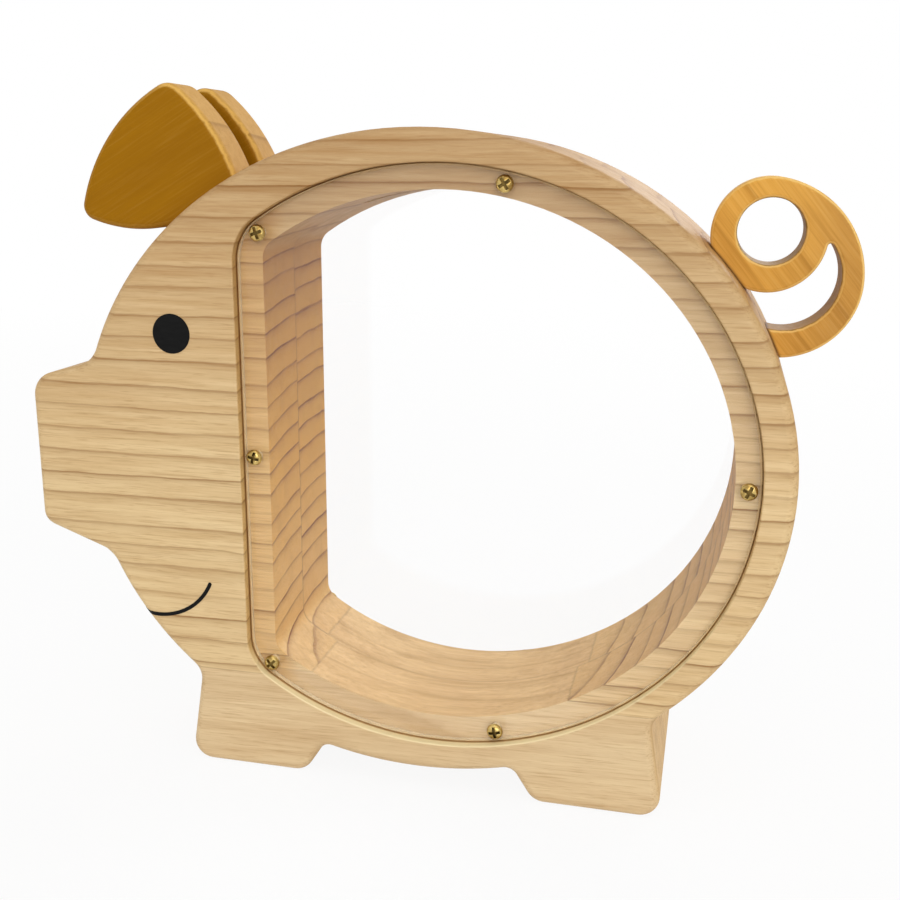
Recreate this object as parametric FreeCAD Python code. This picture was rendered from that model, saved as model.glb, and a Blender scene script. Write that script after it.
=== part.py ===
import FreeCAD, Part
import math
import os

# A pig-shaped wooden money box: a sawn ring of glued pine boards with a clear
# screwed-on window at the front and at the rear, two ears, a curled tail and a
# coin slot in its back.  Millimetres and degrees.  The pig looks along -X, the
# front window faces -Y, +Z is up and the feet stand on Z = 0.

# Body: an oval sawn from two boards that are glued face to face.
BODY_LENGTH = 172.0
BODY_HEIGHT = 154.6
BELLY_CLEARANCE = 5.4
BOARD_THICKNESS = 25.0
ROUND_OVER = 2.2
EDGE_EASE = 0.4

# Each board is edge-glued from an upper board and a foot board.
FRONT_FOOT_BOARD_HEIGHT = 26.5
REAR_FOOT_BOARD_HEIGHT = 28.0

# Snout: a blunt wedge that stands out of the front end of the oval.
SNOUT_REACH = 13.4
SNOUT_TOP = 17.1
SNOUT_BOTTOM = 20.5
SNOUT_TOP_SLOPE = 14.8
SNOUT_BOTTOM_SLOPE = 20.0
SNOUT_TOP_CORNER = 6.0
SNOUT_BOTTOM_CORNER = 4.0
SNOUT_FILLET = 8.0

# Feet: mirror images, given as distances from the middle of the oval.
FOOT_OUTER = 61.2
FOOT_INNER = 29.7
FOOT_OUTER_LEAN = 9.0
FOOT_INNER_LEAN = 32.7
FOOT_OUTER_FILLET = 5.0
FOOT_OUTER_CORNER = 5.0
FOOT_INNER_CORNER = 5.0
FOOT_INNER_FILLET = 3.0

# Window opening: an oval cut straight at the head, with a rebate for the pane.
RIM_WIDTH = 7.4
LEDGE_WIDTH = 5.9
WINDOW_SHIFT = 4.4
WINDOW_HEAD_EDGE = 43.8
REBATE_CORNER = 12.0
OPENING_CORNER = 5.0
PANE_THICKNESS = 3.0
PANE_RECESS = 2.0
PANE_GAP = 0.3
PANE_EDGE_EASE = 0.3

# Screws: six small cross-recess wood screws hold each pane to its ledge.
SCREW_HEAD_RADIUS = 2.0
SCREW_HEAD_HEIGHT = 1.3
SCREW_HEAD_RIM = 0.4
SCREW_SHANK_RADIUS = 1.0
SCREW_LENGTH = 10.0
SCREW_TIP_LENGTH = 2.0
SCREW_PANE_CLEARANCE = 0.3
SCREW_PILOT_CLEARANCE = 0.05
SCREW_PILOT_SPARE = 1.0
CROSS_WIDTH = 0.55
CROSS_LENGTH = 2.5
CROSS_DEPTH = 0.8
CROSS_TURN = 37.0
SIDE_SCREW_PLACE = 19.8
CORNER_SCREW_INSET = 5.7

# Coin slot in the back, over the joint between the front and rear boards.
SLOT_LENGTH = 38.0
SLOT_WIDTH = 5.0

# Glued dowel and seat joints.
GLUE_GAP = 0.1
DOWEL_GAP = 0.05

# Ears: leaf shapes that stand on the oval at EAR_ANGLE, one per board.
# Corners are given along the seat, towards the tail, and out from the seat.
EAR_ANGLE = 128.9
EAR_THICKNESS = 12.0
EAR_SPACING = 20.0
EAR_TIP_ALONG = 29.3
EAR_TIP_OUT = 17.0
EAR_TOP_ALONG = 9.7
EAR_TOP_OUT = 27.9
EAR_ROOT_ALONG = 9.6
EAR_ROOT_DEPTH = 0.7
EAR_FRONT_BULGE = 5.0
EAR_BACK_BULGE = 2.3
EAR_UNDER_BULGE = 6.9
EAR_TIP_RADIUS = 3.5
EAR_TOP_RADIUS = 5.0
EAR_ROOT_RADIUS = 3.0
EAR_ROUND_OVER = 1.8
EAR_DOWEL_RADIUS = 2.5
EAR_DOWEL_DEPTH = 8.0
EAR_DOWEL_SPACING = 9.0

# Tail: a ring that opens into a curl, seated on the oval at TAIL_ANGLE.
# Centres are given in X and Z from the middle of the seat.
TAIL_ANGLE = 36.1
TAIL_THICKNESS = 12.0
TAIL_CURL_X = 5.2
TAIL_CURL_Z = -0.8
TAIL_CURL_RADIUS = 22.8
TAIL_CURL_LOWER_RADIUS = 17.6
TAIL_RING_RADIUS = 12.8
TAIL_RING_DIRECTION = 79.7
TAIL_HOLE_X = 7.4
TAIL_HOLE_Z = 9.8
TAIL_HOLE_RADIUS = 7.4
TAIL_GAP_X = 11.1
TAIL_GAP_Z = 0.0
TAIL_GAP_RADIUS = 12.1
TAIL_GAP_TIP_RADIUS = 0.7
TAIL_ROUND_OVER = 1.0
TAIL_DOWEL_RADIUS = 2.0
TAIL_DOWEL_IN_TAIL = 3.4
TAIL_DOWEL_IN_BODY = 8.0

# Painted face: thin films of paint on both sides of the head.
# The eye's and the mouth's centres are given from the middle of the oval.
PAINT_FILM = 0.1
EYE_X = -60.2
EYE_Z = 29.7
EYE_RADIUS = 4.8
MOUTH_X = -68.0
MOUTH_Z = -26.7
MOUTH_RADIUS = 16.1
MOUTH_WIDTH = 0.95
MOUTH_END = -24.3
MOUTH_START = -115.0
MOUTH_WRAP = 0.7

# Worked-out sizes.
HALF_LENGTH = BODY_LENGTH / 2
HALF_HEIGHT = BODY_HEIGHT / 2
MIDDLE_Z = BELLY_CLEARANCE + HALF_HEIGHT
REBATE_DEPTH = PANE_RECESS + PANE_THICKNESS
REBATE_HALF_LENGTH = HALF_LENGTH - RIM_WIDTH - WINDOW_SHIFT
REBATE_HALF_HEIGHT = HALF_HEIGHT - RIM_WIDTH
PILOT_DEPTH = SCREW_LENGTH - PANE_THICKNESS + SCREW_PILOT_SPARE
CUT_MARGIN = 1.0
REACH = BODY_LENGTH + BODY_HEIGHT
SIDES = (("front", -1), ("rear", 1))


def vector(x, y, z):
    return FreeCAD.Vector(x, y, z)


def oval_face(middle_x, half_length, half_height):
    """A flat oval in the XZ plane, centred at the height of the body's middle."""
    centre = vector(middle_x, 0, MIDDLE_Z)
    along = vector(middle_x + half_length, 0, MIDDLE_Z)
    up = vector(middle_x, 0, MIDDLE_Z + half_height)
    if half_length >= half_height:
        oval = Part.Ellipse(along, up, centre)
    else:
        oval = Part.Ellipse(up, along, centre)
    return Part.Face(Part.Wire([oval.toShape()]))


def polygon_face(points):
    """A flat face in the XZ plane from a list of (x, z) corners."""
    corners = [vector(x, 0, z) for x, z in points]
    return Part.Face(Part.makePolygon(corners + corners[:1]))


def disc_face(x, z, radius):
    circle = Part.makeCircle(radius, vector(x, 0, z), vector(0, 1, 0))
    return Part.Face(Part.Wire([circle]))


def prism(face, low_y, high_y):
    """The face swept along Y between two depths."""
    moved = face.copy()
    moved.translate(vector(0, low_y, 0))
    return moved.extrude(vector(0, high_y - low_y, 0))


def block(low, high):
    size = [b - a for a, b in zip(low, high)]
    return Part.makeBox(*size, vector(*low))


def upright_edge(shape, x, z):
    """The straight edge along Y that lies nearest to (x, z)."""
    best = None
    best_distance = None
    for edge in shape.Edges:
        ends = [vertex.Point for vertex in edge.Vertexes]
        if len(ends) < 2:
            continue
        run = ends[1] - ends[0]
        if math.hypot(run.x, run.z) > 1e-4:
            continue
        distance = math.hypot(ends[0].x - x, ends[0].z - z)
        if best is None or distance < best_distance:
            best = edge
            best_distance = distance
    return best


def round_corners(shape, corners):
    """Rounds the edges along Y at each (x, z, radius)."""
    for x, z, radius in corners:
        shape = shape.makeFillet(radius, [upright_edge(shape, x, z)])
    return shape


def edges_at_depth(shape, y):
    """The edges that lie wholly in the plane at depth y."""
    found = []
    for edge in shape.Edges:
        box = edge.BoundBox
        if abs(box.YMin - y) < 1e-4 and abs(box.YMax - y) < 1e-4:
            found.append(edge)
    return found


def oval_height(x, middle_x, half_length, half_height):
    """Height of an oval's edge above its middle at x."""
    share = (x - middle_x) / half_length
    return half_height * math.sqrt(1 - share * share)


def oval_seat(angle):
    """A place on the body's oval, with the direction along it and out of it."""
    turn = math.radians(angle)
    place = vector(HALF_LENGTH * math.cos(turn), 0, MIDDLE_Z + HALF_HEIGHT * math.sin(turn))
    out = vector(math.cos(turn) / HALF_LENGTH, 0, math.sin(turn) / HALF_HEIGHT)
    out.normalize()
    along = vector(out.z, 0, -out.x)
    return place, along, out


def meets_oval(x, z, run_x, run_z):
    """Where a line that starts outside the body's oval first meets it."""
    start_x = x / HALF_LENGTH
    start_z = (z - MIDDLE_Z) / HALF_HEIGHT
    step_x = run_x / HALF_LENGTH
    step_z = run_z / HALF_HEIGHT
    square = step_x ** 2 + step_z ** 2
    half = start_x * step_x + start_z * step_z
    rest = start_x ** 2 + start_z ** 2 - 1
    share = (-half - math.sqrt(half * half - square * rest)) / square
    return x + share * run_x, z + share * run_z


def on_oval(edge, growth):
    """True if the edge lies on the body's oval, grown by a glue gap."""
    middle = edge.valueAt((edge.FirstParameter + edge.LastParameter) / 2)
    across = middle.x / (HALF_LENGTH + growth)
    up = (middle.z - MIDDLE_Z) / (HALF_HEIGHT + growth)
    return abs(math.hypot(across, up) - 1) < 1e-5


def rod(start, direction, length, radius):
    return Part.makeCylinder(radius, length, start, direction)


def snout_and_corners():
    """The snout's face and its four corners to round."""
    front_x = -HALF_LENGTH - SNOUT_REACH
    top_z = MIDDLE_Z + SNOUT_TOP
    bottom_z = MIDDLE_Z - SNOUT_BOTTOM
    top_rise = math.tan(math.radians(SNOUT_TOP_SLOPE))
    bottom_fall = math.tan(math.radians(SNOUT_BOTTOM_SLOPE))
    root = HALF_LENGTH / 2 + SNOUT_REACH
    points = [
        (front_x, bottom_z),
        (front_x, top_z),
        (front_x + root, top_z + root * top_rise),
        (front_x + root, bottom_z - root * bottom_fall),
    ]
    top_root = meets_oval(front_x, top_z, 1, top_rise)
    bottom_root = meets_oval(front_x, bottom_z, 1, -bottom_fall)
    corners = [
        (*top_root, SNOUT_FILLET),
        (*bottom_root, SNOUT_FILLET),
        (front_x, top_z, SNOUT_TOP_CORNER),
        (front_x, bottom_z, SNOUT_BOTTOM_CORNER),
    ]
    return polygon_face(points), corners


def foot_and_corners(side):
    """One foot's face and its four corners; side is -1 at the head, +1 at the tail."""
    outer_in = math.tan(math.radians(FOOT_OUTER_LEAN))
    inner_in = math.tan(math.radians(FOOT_INNER_LEAN))
    rise = HALF_HEIGHT / 2
    inner_rise = 2 * BELLY_CLEARANCE
    points = [
        (side * FOOT_OUTER, 0),
        (side * (FOOT_OUTER - rise * outer_in), rise),
        (side * (FOOT_INNER - inner_rise * inner_in), rise),
        (side * (FOOT_INNER - inner_rise * inner_in), inner_rise),
        (side * FOOT_INNER, 0),
    ]
    outer_root = meets_oval(side * FOOT_OUTER, 0, -side * outer_in, 1)
    inner_root = meets_oval(side * FOOT_INNER, 0, -side * inner_in, 1)
    corners = [
        (*outer_root, FOOT_OUTER_FILLET),
        (*inner_root, FOOT_INNER_FILLET),
        (side * FOOT_OUTER, 0, FOOT_OUTER_CORNER),
        (side * FOOT_INNER, 0, FOOT_INNER_CORNER),
    ]
    return polygon_face(points), corners


def whole_body():
    """The sawn and rounded-over outline, both boards thick, before any opening."""
    snout, corners = snout_and_corners()
    faces = [snout]
    for side in (-1, 1):
        foot, foot_corners = foot_and_corners(side)
        faces.append(foot)
        corners = corners + foot_corners
    oval = prism(oval_face(0, HALF_LENGTH, HALF_HEIGHT), -BOARD_THICKNESS, BOARD_THICKNESS)
    added = [prism(face, -BOARD_THICKNESS, BOARD_THICKNESS) for face in faces]
    body = oval.fuse(added).removeSplitter()
    body = round_corners(body, corners)
    rims = edges_at_depth(body, -BOARD_THICKNESS) + edges_at_depth(body, BOARD_THICKNESS)
    return body.makeFillet(ROUND_OVER, rims)


def window_shape(inset, corner, low_y, high_y):
    """The window's outline drawn in by inset, with rounded corners at the head."""
    half_length = REBATE_HALF_LENGTH - inset
    half_height = REBATE_HALF_HEIGHT - inset
    head_x = -WINDOW_HEAD_EDGE + inset
    oval = prism(oval_face(WINDOW_SHIFT, half_length, half_height), low_y, high_y)
    head = block((-REACH, low_y - CUT_MARGIN, -REACH), (head_x, high_y + CUT_MARGIN, REACH))
    reach = oval_height(head_x, WINDOW_SHIFT, half_length, half_height)
    corners = [(head_x, MIDDLE_Z + reach, corner), (head_x, MIDDLE_Z - reach, corner)]
    return round_corners(oval.cut(head), corners)


def screw_places():
    """(x, z) of the screws: two corners, head edge, back, belly and tail end."""
    inset = LEDGE_WIDTH / 2
    half_length = REBATE_HALF_LENGTH - inset
    half_height = REBATE_HALF_HEIGHT - inset
    corner_x = -WINDOW_HEAD_EDGE + CORNER_SCREW_INSET
    corner_z = oval_height(corner_x, WINDOW_SHIFT, half_length, half_height)
    side_z = oval_height(SIDE_SCREW_PLACE, WINDOW_SHIFT, half_length, half_height)
    return [
        (corner_x, MIDDLE_Z + corner_z),
        (SIDE_SCREW_PLACE, MIDDLE_Z + side_z),
        (WINDOW_SHIFT + half_length, MIDDLE_Z),
        (SIDE_SCREW_PLACE, MIDDLE_Z - side_z),
        (corner_x, MIDDLE_Z - corner_z),
        (-WINDOW_HEAD_EDGE + inset, MIDDLE_Z),
    ]


def screw(x, z, side, turn):
    """One screw, its head on the outer face of its pane."""
    seat_y = side * (BOARD_THICKNESS - PANE_RECESS)
    crown = vector(0, 0, SCREW_HEAD_HEIGHT)
    shoulder = vector(SCREW_HEAD_RADIUS, 0, SCREW_HEAD_RIM)
    foot = vector(SCREW_HEAD_RADIUS, 0, 0)
    dome_rise = SCREW_HEAD_HEIGHT - SCREW_HEAD_RIM
    dome_radius = (SCREW_HEAD_RADIUS ** 2 + dome_rise ** 2) / (2 * dome_rise)
    lean = math.asin(SCREW_HEAD_RADIUS / dome_radius) / 2
    dome_z = SCREW_HEAD_HEIGHT - dome_radius * (1 - math.cos(lean))
    dome = Part.Arc(shoulder, vector(dome_radius * math.sin(lean), 0, dome_z), crown).toShape()
    outline = Part.Wire([
        Part.LineSegment(vector(0, 0, 0), foot).toShape(),
        Part.LineSegment(foot, shoulder).toShape(),
        dome,
        Part.LineSegment(crown, vector(0, 0, 0)).toShape(),
    ])
    head = Part.Face(outline).revolve(vector(0, 0, 0), vector(0, 0, 1), 360)
    half_long = CROSS_LENGTH / 2
    half_wide = CROSS_WIDTH / 2
    floor = SCREW_HEAD_HEIGHT - CROSS_DEPTH
    above = SCREW_HEAD_HEIGHT + CUT_MARGIN
    cross = block((-half_long, -half_wide, floor), (half_long, half_wide, above))
    cross = cross.fuse(block((-half_wide, -half_long, floor), (half_wide, half_long, above)))
    straight = SCREW_LENGTH - SCREW_TIP_LENGTH
    down = vector(0, 0, -1)
    shank = Part.makeCylinder(SCREW_SHANK_RADIUS, straight, vector(0, 0, 0), down)
    tip_start = vector(0, 0, -straight)
    tip = Part.makeCone(SCREW_SHANK_RADIUS, 0, SCREW_TIP_LENGTH, tip_start, down)
    solid = head.cut(cross).fuse([shank, tip]).removeSplitter()
    solid.rotate(vector(0, 0, 0), vector(0, 0, 1), turn)
    solid.rotate(vector(0, 0, 0), vector(1, 0, 0), -side * 90)
    solid.translate(vector(x, seat_y, z))
    return solid


def pane(side):
    """The clear pane, loose in its rebate, with a hole for each screw."""
    outer_y = side * (BOARD_THICKNESS - PANE_RECESS)
    inner_y = outer_y - side * PANE_THICKNESS
    low_y = min(outer_y, inner_y)
    high_y = max(outer_y, inner_y)
    sheet = window_shape(PANE_GAP, REBATE_CORNER - PANE_GAP, low_y, high_y)
    sheet = sheet.makeChamfer(PANE_EDGE_EASE, edges_at_depth(sheet, outer_y))
    hole_radius = SCREW_SHANK_RADIUS + SCREW_PANE_CLEARANCE
    for x, z in screw_places():
        start = vector(x, low_y - CUT_MARGIN, z)
        hole = rod(start, vector(0, 1, 0), PANE_THICKNESS + 2 * CUT_MARGIN, hole_radius)
        sheet = sheet.cut(hole)
    return sheet


def trim_to_body(piece, low_y, high_y):
    """Cuts a flat piece to its seat on the oval, a glue line away from it."""
    seat_oval = oval_face(0, HALF_LENGTH + GLUE_GAP, HALF_HEIGHT + GLUE_GAP)
    seat_cut = prism(seat_oval, low_y - CUT_MARGIN, high_y + CUT_MARGIN)
    return max(piece.cut(seat_cut).Solids, key=lambda solid: solid.Volume)


def ear(side):
    """A leaf with three bowed sides, trimmed to the body's oval where it is glued."""
    seat, along, out = oval_seat(EAR_ANGLE)
    tip = seat - along * EAR_TIP_ALONG + out * EAR_TIP_OUT
    top = seat + along * EAR_TOP_ALONG + out * EAR_TOP_OUT
    root = seat + along * EAR_ROOT_ALONG - out * EAR_ROOT_DEPTH
    sides = []
    for start, end, bulge in (
        (tip, top, EAR_FRONT_BULGE),
        (top, root, EAR_BACK_BULGE),
        (root, tip, EAR_UNDER_BULGE),
    ):
        run = end - start
        outward = vector(-run.z, 0, run.x).normalize()
        bowed = start + run / 2 + outward * bulge
        sides.append(Part.Arc(start, bowed, end).toShape())
    face = Part.Face(Part.Wire(sides))
    low_y = side * EAR_SPACING / 2 - EAR_THICKNESS / 2
    high_y = low_y + EAR_THICKNESS
    leaf = prism(face, low_y, high_y)
    leaf = round_corners(leaf, [
        (tip.x, tip.z, EAR_TIP_RADIUS),
        (top.x, top.z, EAR_TOP_RADIUS),
        (root.x, root.z, EAR_ROOT_RADIUS),
    ])
    rims = edges_at_depth(leaf, low_y) + edges_at_depth(leaf, high_y)
    return trim_to_body(leaf.makeFillet(EAR_ROUND_OVER, rims), low_y, high_y)


def ear_dowel_lines(side):
    """Start, direction and length of an ear's two dowels, from inside the body."""
    seat, along, out = oval_seat(EAR_ANGLE)
    middle = seat + vector(0, side * EAR_SPACING / 2, 0)
    lines = []
    for way in (-1, 1):
        start = middle + along * (way * EAR_DOWEL_SPACING / 2) - out * EAR_DOWEL_DEPTH
        lines.append((start, out, 2 * EAR_DOWEL_DEPTH))
    return lines


def tail_places():
    """Centres of the tail's curl, ring, hole and gap, as (x, z)."""
    seat = oval_seat(TAIL_ANGLE)[0]
    curl = (seat.x + TAIL_CURL_X, seat.z + TAIL_CURL_Z)
    turn = math.radians(TAIL_RING_DIRECTION)
    step = TAIL_CURL_RADIUS - TAIL_RING_RADIUS
    ring = (curl[0] + step * math.cos(turn), curl[1] + step * math.sin(turn))
    hole = (seat.x + TAIL_HOLE_X, seat.z + TAIL_HOLE_Z)
    gap = (seat.x + TAIL_GAP_X, seat.z + TAIL_GAP_Z)
    return curl, ring, hole, gap


def tail():
    """A ring whose outer edge runs on into a curl that comes back to the body."""
    curl, ring, hole, gap = tail_places()
    half = TAIL_THICKNESS / 2
    turn = math.radians(TAIL_RING_DIRECTION)

    def around(centre, radius, angle):
        return vector(centre[0] + radius * math.cos(angle), 0, centre[1] + radius * math.sin(angle))

    meet = around(curl, TAIL_CURL_RADIUS, turn)
    upper = around(curl, TAIL_CURL_RADIUS, turn / 2)
    far = around(curl, TAIL_CURL_RADIUS, 0)
    lower_centre = (curl[0] + TAIL_CURL_RADIUS - TAIL_CURL_LOWER_RADIUS, curl[1])
    lower = around(lower_centre, TAIL_CURL_LOWER_RADIUS, -math.pi / 4)
    bottom = around(lower_centre, TAIL_CURL_LOWER_RADIUS, -math.pi / 2)
    inside = bottom - vector(TAIL_RING_RADIUS, 0, 0)
    ring_middle = vector(ring[0], 0, ring[1])
    curl_face = Part.Face(Part.Wire([
        Part.Arc(meet, upper, far).toShape(),
        Part.Arc(far, lower, bottom).toShape(),
        Part.LineSegment(bottom, inside).toShape(),
        Part.LineSegment(inside, ring_middle).toShape(),
        Part.LineSegment(ring_middle, meet).toShape(),
    ]))
    ring_disc = prism(disc_face(*ring, TAIL_RING_RADIUS), -half, half)
    gap_disc = prism(disc_face(*gap, TAIL_GAP_RADIUS), -half, half)
    gap_shape = gap_disc.cut(ring_disc)
    gap_tip = max(gap_shape.Vertexes, key=lambda vertex: vertex.Z).Point
    gap_shape = round_corners(gap_shape, [(gap_tip.x, gap_tip.z, TAIL_GAP_TIP_RADIUS)])
    hole_shape = prism(disc_face(*hole, TAIL_HOLE_RADIUS), -half, half)
    solid = prism(curl_face, -half, half).fuse(ring_disc).removeSplitter()
    solid = trim_to_body(solid.cut([gap_shape, hole_shape]), -half, half)
    rims = edges_at_depth(solid, -half) + edges_at_depth(solid, half)
    rims = [edge for edge in rims if not on_oval(edge, GLUE_GAP)]
    return solid.makeFillet(TAIL_ROUND_OVER, rims)


def tail_dowel_line():
    seat, _, out = oval_seat(TAIL_ANGLE)
    start = seat - out * TAIL_DOWEL_IN_BODY
    return start, out, TAIL_DOWEL_IN_BODY + TAIL_DOWEL_IN_TAIL


def drill(shape, lines, radius):
    """Cuts a dowel hole, a glue gap wider and longer than the dowel, for each line."""
    for start, direction, length in lines:
        hole_start = start - direction * DOWEL_GAP
        shape = shape.cut(rod(hole_start, direction, length + 2 * DOWEL_GAP, radius + DOWEL_GAP))
    return shape


def mouth(body, side):
    """A curved line of paint that runs off the chin over the rounded edge."""
    outer_y = side * (BOARD_THICKNESS + CUT_MARGIN)
    inner_y = side * (BOARD_THICKNESS - MOUTH_WRAP * ROUND_OVER)
    low_y = min(outer_y, inner_y)
    high_y = max(outer_y, inner_y)
    x = MOUTH_X
    z = MIDDLE_Z + MOUTH_Z
    line = prism(disc_face(x, z, MOUTH_RADIUS + MOUTH_WIDTH / 2), low_y, high_y)
    line = line.cut(prism(disc_face(x, z, MOUTH_RADIUS - MOUTH_WIDTH / 2), low_y, high_y))
    far = 2 * MOUTH_RADIUS
    corners = [(x, z)]
    for angle in (MOUTH_END, (MOUTH_END + MOUTH_START) / 2, MOUTH_START):
        turn = math.radians(angle)
        corners.append((x + far * math.cos(turn), z + far * math.sin(turn)))
    line = line.common(prism(polygon_face(corners), low_y, high_y))
    end = math.radians(MOUTH_END)
    end_x = x + MOUTH_RADIUS * math.cos(end)
    end_z = z + MOUTH_RADIUS * math.sin(end)
    line = line.fuse(prism(disc_face(end_x, end_z, MOUTH_WIDTH / 2), low_y, high_y))
    painted = body.copy()
    painted.translate(vector(0, side * PAINT_FILM, 0))
    return line.common(painted).cut(body).removeSplitter()


def eye(side):
    face_y = side * BOARD_THICKNESS
    start = vector(EYE_X, face_y, MIDDLE_Z + EYE_Z)
    return rod(start, vector(0, side, 0), PAINT_FILM, EYE_RADIUS)


def in_window(edge, middle):
    """True if the edge lies on the rebate's outline."""
    point = edge.valueAt((edge.FirstParameter + edge.LastParameter) / 2)
    across = (point.x - middle.x) / (REBATE_HALF_LENGTH + RIM_WIDTH / 2)
    up = (point.z - middle.z) / (REBATE_HALF_HEIGHT + RIM_WIDTH / 2)
    return math.hypot(across, up) < 1 and point.x > -WINDOW_HEAD_EDGE - RIM_WIDTH / 2


def opened_body(body):
    """The body with its window opening, rebates, coin slot and drilled holes."""
    full = BOARD_THICKNESS + CUT_MARGIN
    body = body.cut(window_shape(LEDGE_WIDTH, OPENING_CORNER, -full, full))
    for side in (-1, 1):
        outer_y = side * full
        ledge_y = side * (BOARD_THICKNESS - REBATE_DEPTH)
        rebate = window_shape(0, REBATE_CORNER, min(outer_y, ledge_y), max(outer_y, ledge_y))
        body = body.cut(rebate)
    eased = []
    for side in (-1, 1):
        window_middle = vector(WINDOW_SHIFT, side * BOARD_THICKNESS, MIDDLE_Z)
        rims = edges_at_depth(body, side * BOARD_THICKNESS)
        eased += [edge for edge in rims if in_window(edge, window_middle)]
    body = body.makeFillet(EDGE_EASE, eased)
    slot = block(
        (-SLOT_LENGTH / 2, -SLOT_WIDTH / 2, MIDDLE_Z),
        (SLOT_LENGTH / 2, SLOT_WIDTH / 2, MIDDLE_Z + BODY_HEIGHT),
    )
    body = body.cut(slot)
    pilot_radius = SCREW_SHANK_RADIUS + SCREW_PILOT_CLEARANCE
    for side in (-1, 1):
        ledge_y = side * (BOARD_THICKNESS - REBATE_DEPTH)
        for x, z in screw_places():
            pilot = rod(vector(x, ledge_y, z), vector(0, -side, 0), PILOT_DEPTH, pilot_radius)
            body = body.cut(pilot)
        body = drill(body, ear_dowel_lines(side), EAR_DOWEL_RADIUS)
    return drill(body, [tail_dowel_line()], TAIL_DOWEL_RADIUS)


def board(body, side, low_z, high_z):
    """The part of the body in one board: one side of the joint, between two heights."""
    outer_y = side * (BOARD_THICKNESS + CUT_MARGIN)
    part = body.common(block((-REACH, min(0, outer_y), low_z), (REACH, max(0, outer_y), high_z)))
    return max(part.Solids, key=lambda solid: solid.Volume)


# The whole object's length runs from the snout to the curl of the tail, and the
# origin is under the middle of it.
TAIL_END = tail_places()[0][0] + TAIL_CURL_RADIUS
ORIGIN_SHIFT = (HALF_LENGTH + SNOUT_REACH - TAIL_END) / 2


def save(name, shape):
    moved = shape.copy()
    moved.translate(vector(ORIGIN_SHIFT, 0, 0))
    moved.exportStep("parts/" + name + ".step")


def build():
    os.makedirs("parts", exist_ok=True)
    body = whole_body()
    opened = opened_body(body)
    foot_heights = {"front": FRONT_FOOT_BOARD_HEIGHT, "rear": REAR_FOOT_BOARD_HEIGHT}
    for name, side in SIDES:
        joint_z = foot_heights[name]
        save(name + "_upper_board", board(opened, side, joint_z, REACH))
        save(name + "_foot_board", board(opened, side, -CUT_MARGIN, joint_z))
        save(name + "_window", pane(side))
        for index, (x, z) in enumerate(screw_places()):
            turn = CROSS_TURN * (index + 1)
            save(f"{name}_screw_{index + 1}", screw(x, z, side, turn))
        lines = ear_dowel_lines(side)
        save(name + "_ear", drill(ear(side), lines, EAR_DOWEL_RADIUS))
        for index, line in enumerate(lines):
            save(f"{name}_ear_dowel_{index + 1}", rod(*line, EAR_DOWEL_RADIUS))
        save(name + "_eye", eye(side))
        save(name + "_mouth", mouth(body, side))
    save("tail", drill(tail(), [tail_dowel_line()], TAIL_DOWEL_RADIUS))
    save("tail_dowel", rod(*tail_dowel_line(), TAIL_DOWEL_RADIUS))


build()
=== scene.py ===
from collections import namedtuple
import bmesh
import bpy
import math
from mathutils import Matrix, Vector


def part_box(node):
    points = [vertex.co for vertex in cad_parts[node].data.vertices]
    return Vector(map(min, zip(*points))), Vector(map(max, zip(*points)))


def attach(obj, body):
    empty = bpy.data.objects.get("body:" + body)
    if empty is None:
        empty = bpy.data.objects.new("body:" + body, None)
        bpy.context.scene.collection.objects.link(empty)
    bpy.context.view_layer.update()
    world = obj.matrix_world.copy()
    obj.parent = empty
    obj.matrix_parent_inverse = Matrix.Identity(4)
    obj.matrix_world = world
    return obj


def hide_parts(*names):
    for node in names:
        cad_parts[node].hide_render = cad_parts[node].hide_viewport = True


# The finished look of a pig-shaped pine money box.  Shapes come from the packed
# model; this script gives them their wood, paint, acrylic and brass, makes the
# screws with real threads, and sets up the floor, the light and the camera.
# Lengths are metres unless a comment says millimetres.

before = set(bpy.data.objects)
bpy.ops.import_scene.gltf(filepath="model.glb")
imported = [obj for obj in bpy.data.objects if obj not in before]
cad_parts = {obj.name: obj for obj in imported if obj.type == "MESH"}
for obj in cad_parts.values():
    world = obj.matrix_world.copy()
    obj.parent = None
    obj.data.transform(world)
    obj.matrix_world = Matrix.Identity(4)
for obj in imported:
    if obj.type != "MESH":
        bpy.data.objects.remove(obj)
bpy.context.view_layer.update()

MM = 0.001
MM_PER_METRE = 1000.0
SIDES = ("front", "rear")
SCREW_NUMBERS = range(1, 7)


# Small helpers for building a finish out of nodes.

def colour(red, green, blue):
    """A screen colour, 0 to 255, as the linear colour that the shaders want."""
    def linear(level):
        share = level / 255
        return share / 12.92 if share <= 0.04045 else ((share + 0.055) / 1.055) ** 2.4
    return (linear(red), linear(green), linear(blue), 1.0)


def new_finish(name):
    """An empty node finish with its main shader."""
    finish = bpy.data.materials.new(name)
    finish.use_nodes = True
    return finish, finish.node_tree, finish.node_tree.nodes["Principled BSDF"]


def feed(tree, socket, value):
    """Gives a socket a fixed value or links it to another node's output."""
    if isinstance(value, bpy.types.NodeSocket):
        tree.links.new(value, socket)
    else:
        socket.default_value = value


def sums(tree, operation, *values):
    """A Math node's result."""
    node = tree.nodes.new("ShaderNodeMath")
    node.operation = operation
    for socket, value in zip(node.inputs, values):
        feed(tree, socket, value)
    return node.outputs[0]


def vectors(tree, operation, *values):
    """A Vector Math node's vector."""
    node = tree.nodes.new("ShaderNodeVectorMath")
    node.operation = operation
    for socket, value in zip(node.inputs, values):
        feed(tree, socket, value)
    return node.outputs[0]


def length_of(tree, vector):
    """The length of a vector."""
    node = tree.nodes.new("ShaderNodeVectorMath")
    node.operation = "LENGTH"
    feed(tree, node.inputs[0], vector)
    return node.outputs["Value"]


def axes(tree, vector):
    """The X, Y and Z of a vector."""
    node = tree.nodes.new("ShaderNodeSeparateXYZ")
    feed(tree, node.inputs[0], vector)
    return node.outputs[0], node.outputs[1], node.outputs[2]


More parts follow.
